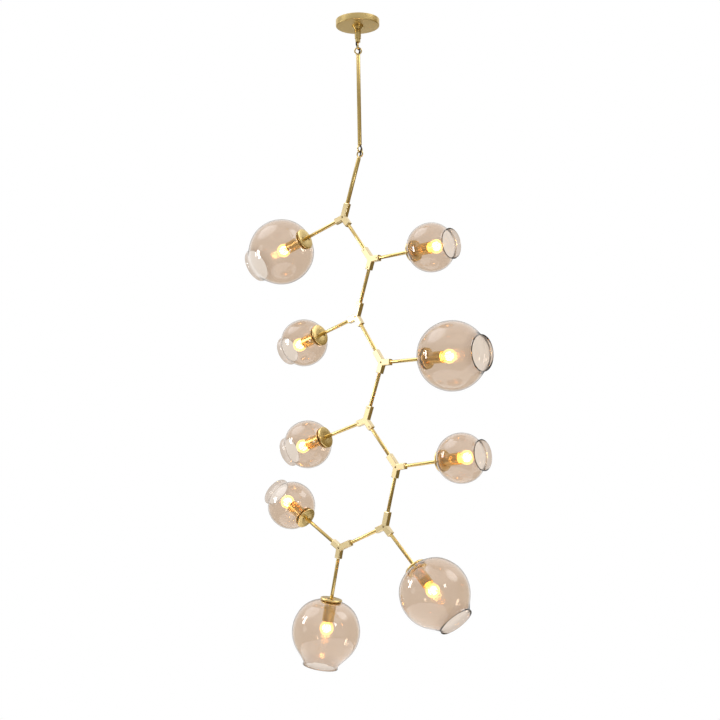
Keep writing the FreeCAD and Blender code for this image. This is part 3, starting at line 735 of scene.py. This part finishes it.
def holderPiece(number, place, body):
    # Turned about the arm: a slightly domed cap with a neck through the glass and a cup, the
    # ring that holds the glass, and the insert that grips the bulb. Two screws stand on the cap
    size = holder
    face, radius, cup, floor = size["capFace"], size["capRadius"], size["cupRadius"], size["cupFloor"]
    under, bore, inner = face + size["capHeight"], rod["radius"] + slip / 2, cup - size["cupWall"]
    neckEnd = under + size["neckLength"]
    low = neckEnd + size["gap"]
    corners = [(bore, face), (size["domeShare"] * radius, face), (radius, face + size["dome"]),
               (radius, under), (size["neckRadius"], under), (size["neckRadius"], neckEnd),
               (cup, neckEnd), (cup, size["cupEnd"]), (inner, size["cupEnd"]), (inner, floor),
               (bore, floor)]
    parts = [turnedPart(place, corners, size["rounds"], 8, 96, satinGold)]
    for inside, outside, start, end, rounds, arcSteps, steps, material in (
            (cup + slip, size["ringRadius"], low, low + size["ringHeight"], size["ringRounds"], 6, 96,
             warmGold),
            (size["insertHole"], inner - slip, floor, size["insertEnd"], size["insertRounds"], 4, 48,
             socketCeramic)):
        corners = [(inside, start), (outside, start), (outside, end), (inside, end)]
        parts.append(turnedPart(place, corners, rounds, arcSteps, steps, material))
    for side in (-1, 1):
        spot = framed(place["origin"] + place["axes"][:, 0] * side * size["screwRing"],
                      -place["axes"][:, 2], place["axes"][:, 1])
        parts.append(socketScrew("cap", spot, -face))
    makePiece(f"holder_{number}", parts, body, [f"lampholder_{number}"])


def thickened(outer, wall):
    # The inner wall lies one wall's thickness inside the outer curve, along its normals
    run = unitRows(np.gradient(outer, axis=0))
    return outer + wall * np.stack([-run[:, 1], run[:, 0]], -1)


def shared(part, material, place, start, end):
    # The grain's X holds each point's share of the way from start to end along local Z
    heights = (part["points"] - place["origin"]) @ place["axes"][:, 2]
    grain = np.stack([(heights - start) / (end - start), 0 * heights, 0 * heights], -1)
    return {**made(part, material), "grain": grain}


def shadePiece(number, place, body):
    # A smooth line through the shade's points of (radius, height), its inner wall, and a lip
    # that joins them over half an ellipse. The wall thins over the last tenth of its height
    kind, seat = glass["large" if number in largeShades else "small"], glass["seat"]
    outer = smoothLine([(glass["hole"], 0), *[(across * kind["radius"], along * kind["height"])
                                              for across, along in kind["shares"]],
                        (kind["mouth"], kind["height"])], 120)
    thinner = 1 - glass["lipLoss"] * np.clip(outer[:, 1] / kind["height"] * 10 - 9, 0, 1)
    inner = thickened(outer, glass["wall"] * thinner[:, None])
    lip = np.linspace(0, np.pi, 9)[1:-1, None]
    middle, reach = (outer[-1] + inner[-1]) / 2, (outer[-1] - inner[-1]) / 2
    onward = unit(outer[-1] - outer[-2]) * np.linalg.norm(reach)
    rim = middle - onward + reach * np.cos(lip) + onward * np.sin(lip)
    trimmed = slice(0, -3)
    outline = np.concatenate([outer[trimmed], rim, inner[trimmed][::-1]]) + [0, seat]
    part = shared(turned(outline, place, 144), cognacGlass, place, seat, seat + kind["height"])
    makePiece(f"blown_shade_{number}", [part], body, [f"shade_{number}"], 60)


def bulbGlow(number, place, piece):
    # A small lamp in the middle of the globe, which rides with it
    lamp = bpy.data.lights.new(f"glow_{number}", "POINT")
    lamp.energy, lamp.color = bulb["glowPower"], bulb["glowColor"]
    lamp.shadow_soft_size = bulb["glowRadius"]
    light = addObject(f"glow_{number}", lamp)
    light.location = placed(np.array([0, 0, bulb["middle"]]), place)
    light.parent = piece


def bulbFilaments(number, place, body):
    # Sticks between two rings: each one leans half a step round from the narrow lower ring to
    # the wide upper one. The grain's X falls from 1 in a stick's middle to 0 at its ends
    size, cage, r, sticks = bulb, bulb["cage"], bulb["filamentRadius"], []
    for i in range(size["filaments"]):
        first, second = 2 * np.pi * i / size["filaments"], 2 * np.pi * (i + 0.5) / size["filaments"]
        start = np.array([0.5 * cage * np.cos(first), 0.5 * cage * np.sin(first), size["filamentStart"]])
        end = np.array([cage * np.cos(second), cage * np.sin(second), size["filamentEnd"]])
        stick = framed(placed(start, place), placed(end, place) - placed(start, place),
                       place["axes"][:, 0])
        length = np.linalg.norm(end - start)
        outline = rounded([(0, 0), (r, 0), (r, length), (0, length)], [0, 0.9 * r, 0.9 * r, 0], 4)
        heights = np.repeat(outline[:, 1], 10) / length
        grain = np.stack([1 - np.abs(2 * heights - 1), 0 * heights, 0 * heights], -1)
        sticks.append({**made(turned(outline, stick, 10), glowingFilament), "grain": grain})
    makePiece(f"bulb_filaments_{number}", sticks, body)


def bulbPiece(number, place, body):
    # The glass is turned from a smooth line through the neck's points and a circle's, and its
    # inner wall. The base's thread is a cosine with four rows to each turn
    size, post, baseEnd = bulb, bulb["post"], bulb["baseEnd"]
    middle, radius, depth = size["middle"], size["radius"], size["threadDepth"]
    turn = np.radians(size["globeAngles"])
    neckLine = [0, middle] + mm * np.array(size["neckPoints"])
    globe = np.stack([radius * np.cos(turn), middle - radius * np.sin(turn)], -1)
    outer = smoothLine(np.concatenate([neckLine, globe]), 64)
    outer[-1, 0] = 0
    inner = thickened(outer, size["wall"])
    inner[-1] = (0, outer[-1, 1] - size["wall"])
    ends = outer[0, 1], outer[-1, 1]
    envelope = shared(turned(np.concatenate([outer, inner[::-1]]), place, 64), bulbGlass, place, *ends)
    rows = np.arange(size["threadRows"])
    thread = np.stack([size["baseRadius"] - depth + depth * np.cos(rows * np.pi / 2),
                       np.linspace(size["baseStart"], baseEnd, len(rows))], -1)
    shell = np.concatenate([[(0, size["baseStart"])], thread,
                            [(size["shoulder"], baseEnd + size["shoulderRise"]),
                             (0, baseEnd + size["tipRise"])]])
    start, end, thin = middle + mm * post["start"], middle + mm * post["end"], mm * post["radius"]
    corners = [(0, baseEnd), (mm * post["foot"], baseEnd), (thin, start), (thin, end), (0, end)]
    stand = shared(turnedPart(place, corners, post["rounds"], 5, 24, bulbGlass), bulbGlass, place, *ends)
    base = made(turned(shell, place, 40), zincSteel)
    piece = makePiece(f"bulb_globe_{number}", [envelope, base, stand], body, [f"bulb_{number}"],
                      40)
    bulbFilaments(number, place, body)
    bulbGlow(number, place, piece)


def armPieces(number, hubNumber, hubPlace, run):
    place, body = framed(hubPlace["middle"], run, hubPlace["facing"]), f"hub_{hubNumber}_body"
    start = hub["branchArm"] - hub["branchSeat"]
    makePiece(f"arm_tube_{number}", [tube(place, rod, start, holder["armEnd"])], body,
              [f"arm_rod_{number}"])
    holderPiece(number, place, body)
    bulbPiece(number, place, body)
    shadePiece(number, place, body)


# Wires that show beside the linked loops. Their routes are given from the joint's place, in
# millimetres to the right, towards the front and up

wire = {"radius": 2.3 * mm, "right": (0.79, 0.61, 0), "front": (0.61, -0.79, 0),
        "upper": ((-2.5, 0, 27.5), (-4.8, 1.5, 23.5), (-2.5, -4.5, 16), (1.5, -5.5, 9), (4.2, -1, 2),
                  (4.4, 1, -3.5), (1.5, 0, -10.5)),
        "lower": ((1, 0, 27), (3.6, 2.5, 21), (4.4, 4.8, 14), (2.4, 5, 7), (1.8, 3.5, 0), (0.5, 0, -5),
                  (-2.5, 0, -11))}


def wirePiece(name, pivot, route):
    # A round section carried along a smooth line, with its ends closed to points
    points = pivot + mm * (np.array(route) @ [wire["right"], wire["front"], (0, 0, 1)])
    line = smoothLine(points, 24)
    run = unitRows(np.gradient(line, axis=0))
    side = unitRows(np.cross(run, [0.3, 0.9, 0.1]))
    lap = around(16)[None, :, None]
    reach = wire["radius"] * np.ones((len(line), 1, 1))
    reach[[0, -1]] = 0
    grid = line[:, None] + reach * (side[:, None] * np.cos(lap)
                                    + np.cross(run, side)[:, None] * np.sin(lap))
    part = {"points": grid.reshape(-1, 3), "grain": grid.reshape(-1, 3),
            "faces": gridFaces(len(line), 16, closeRows=False)}
    piece = makeShape(name, [made(part, wireBlack)], 60)
    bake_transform(piece)


canopyPiece()
collarPiece()
neckPieces()
stemPiece()
hubs = hubPlaces()
dropPiece(hubs[0])
for number, place in enumerate(hubs, 1):
    hubPieces(number, place)
print("canopy, rods and hubs done")
for number, place in enumerate(hubs, 1):
    armPieces(number, number, place, place["armRun"])
armPieces(shadeCount, hubCount, hubs[-1], hubs[-1]["otherRun"])
print("arms, holders, bulbs and shades done")

for node in ("ceiling_bracket", "threaded_nipple", "nipple_nuts"):
    solid = frame["nodes"][node]
    solid.data.materials.clear()
    solid.data.materials.append(zincSteel)
wirePiece("upper_wire", upperPivot, wire["upper"])
wirePiece("lower_wire", lowerPivot, wire["lower"])
print("wires done")


# Camera, floor and light. The room's zones and the soft lights are placed by their shares of
# the camera's right, its look ahead and up. A zone has its direction, the span of closeness
# to it over which it fades in, and its colour

camera = {"azimuth": 37.77, "distance": 4.5066, "height": -1.7161, "pan": 0.13, "pitch": 8.68,
          "roll": -0.99, "focalPixels": 1575.64, "imagePixels": 720, "sensor": 36.0, "reach": 50}
room = {"color": (0.46, 0.43, 0.38), "zones": (
    ((0.65, 0.45, 0.6), (0.8, 0.97), (0.95, 0.94, 0.9)),
    ((1, 0.28, 0), (0.72, 0.93), (0.24, 0.17, 0.05)),
    ((-1, -0.3, 0), (0.4, 0.9), (0.4, 0.39, 0.34)),
    ((-0.97, -0.242, 0.155), (0.9816, 0.9936), (1.85, 1.8, 1.7)),
    ((0, 0, 1), (0.3, 0.7), (0.92, 0.9, 0.92)),
    ((0, 0, -1), (0.08, 0.5), (0.2, 0.16, 0.08)),
    ((0, 1, 0.2), (0.55, 0.88), (1.1, 1.1, 1.1)),
    ((0, 1, 0), (0.88, 0.95), (0.38, 0.37, 0.36)),
    ((-0.57, 0, 0.82), (0.88, 0.97), (3.4, 3.4, 3.5)),
    ((0.69, -0.1, 0.72), (0.94, 0.985), (4.2, 4.2, 4.2)))}
backdrop = {"color": (0.55, 0.52, 0.5), "zone": ((0, 1, 0), (0.0, 0.6), (1.0, 1.0, 1.0))}
white = (1.0, 1.0, 1.0)
ground = {"radius": 1.15, "height": -2.32, "steps": 96, "noise": 3, "roughness": 0.9,
          "colors": ((0.8, 0.8, 0.79), (0.86, 0.86, 0.85))}
aimHeight = -1.0
softLights = {"softLeft": {"place": (-1.85, 0.02, -0.86), "size": (0.34, 0.64), "power": 8.5},
              "softLeftSmall": {"place": (-1.9, 0.45, -0.72), "size": (0.14, 0.28), "power": 1.2},
              "softRight": {"place": (1.5, -2.2, -0.75), "size": (0.34, 0.5), "power": 5}}


def setCamera():
    # The camera stands off the hanging axis and looks a little up at the middle of the light
    azimuth, pan, pitch, roll = np.radians([camera[key] for key in ("azimuth", "pan", "pitch", "roll")])
    turn = azimuth + pan
    place = np.array([camera["distance"] * np.sin(azimuth), -camera["distance"] * np.cos(azimuth),
                      camera["height"]])
    ahead = np.array([-np.sin(turn) * np.cos(pitch), np.cos(turn) * np.cos(pitch), np.sin(pitch)])
    right = np.array([np.cos(turn), np.sin(turn), 0])
    up = np.cross(right, ahead)
    right, up = np.cos(roll) * right + np.sin(roll) * up, -np.sin(roll) * right + np.cos(roll) * up
    data = bpy.data.cameras.new("camera")
    data.sensor_width, data.clip_end = camera["sensor"], camera["reach"]
    data.lens = camera["focalPixels"] / camera["imagePixels"] * camera["sensor"]
    thing = addObject("camera", data)
    aimObject(thing, np.stack([right, up, -ahead], 1), place)
    bpy.context.scene.camera = thing
    return ahead, right


def areaLight(name, light, axes):
    # A rectangle that faces a point on the hanging axis
    data = bpy.data.lights.new(name, "AREA")
    data.shape, data.energy = "RECTANGLE", light["power"]
    data.size, data.size_y = light["size"]
    place = light["place"] @ axes
    back = place - [0, 0, aimHeight]
    aimObject(addObject(name, data), framed(place, back, np.cross([0, 0, 1.0], back))["axes"], place)


def setWorld(axes):
    # White to the camera. Glass looks through to white behind the light and to darker sides.
    # Reflections see a grey room, and over it its zones in turn: a bright corner and a dark one
    # on the right, a dull left side and its window, the ceiling, the floor, white with a dim
    # middle behind the light, and two bright places above
    world = bpy.data.worlds.new("studio")
    world.use_nodes = True
    bpy.context.scene.world = world
    tree = world.node_tree
    coords, path = addNode(tree, "ShaderNodeTexCoord"), addNode(tree, "ShaderNodeLightPath")
    background = tree.nodes["Background"]

    def mixed(source, output, first, second):
        # Each end of the mix is a colour, or an earlier mix
        mix = addNode(tree, "ShaderNodeMix", data_type="RGBA")
        join(tree, (source, output, mix, "Factor"))
        for label, value in (("A", first), ("B", second)):
            if isinstance(value, tuple):
                setInputs(mix, {label: (*value, 1)})
            else:
                join(tree, (value, "Result", mix, label))
        return mix

    def zoned(base, towards, span, color):
        dot = addNode(tree, "ShaderNodeVectorMath", {1: unit(towards @ axes)}, operation="DOT_PRODUCT")
        spread = addNode(tree, "ShaderNodeMapRange", fromSpan(span), interpolation_type="SMOOTHSTEP")
        join(tree, (coords, "Generated", dot, 0), (dot, "Value", spread, "Value"))
        return mixed(spread, "Result", base, color)

    mirrored = room["color"]
    for zone in room["zones"]:
        mirrored = zoned(mirrored, *zone)
    seen = zoned(backdrop["color"], *backdrop["zone"])
    shown = mixed(path, "Is Transmission Ray", mirrored, seen)
    shown = mixed(path, "Is Camera Ray", shown, white)
    join(tree, (shown, "Result", background, "Color"))
    setInputs(background, {"Strength": 1})


def setFloor():
    # A pale disc under the light
    angle = around(ground["steps"])
    points = np.stack([ground["radius"] * np.cos(angle), ground["radius"] * np.sin(angle),
                       0 * angle + ground["height"]], -1)
    mesh = bpy.data.meshes.new("floor")
    mesh.from_pydata(points.tolist(), [], [list(range(len(points)))])
    material, tree, shader = newMaterial("paleFloor")
    noise = addNode(tree, "ShaderNodeTexNoise", {"Scale": ground["noise"]})
    ramp = colorRamp(tree, zip((0, 1), ground["colors"]))
    setInputs(shader, {"Roughness": ground["roughness"]})
    join(tree, (noise, "Fac", ramp, "Fac"), (ramp, "Color", shader, "Base Color"))
    mesh.materials.append(material)
    floor = addObject("floor", mesh)


ahead, right = setCamera()
up = np.array([0, 0, 1.0])
setWorld(np.stack([right, ahead, up]))
setFloor()
levelAxes = np.stack([unit(right * [1, 1, 0]), unit(ahead * [1, 1, 0]), up])
for name, light in softLights.items():
    areaLight(name, light, levelAxes)
scene = bpy.context.scene
scene.view_settings.view_transform = "Standard"
scene.view_settings.look = "None"
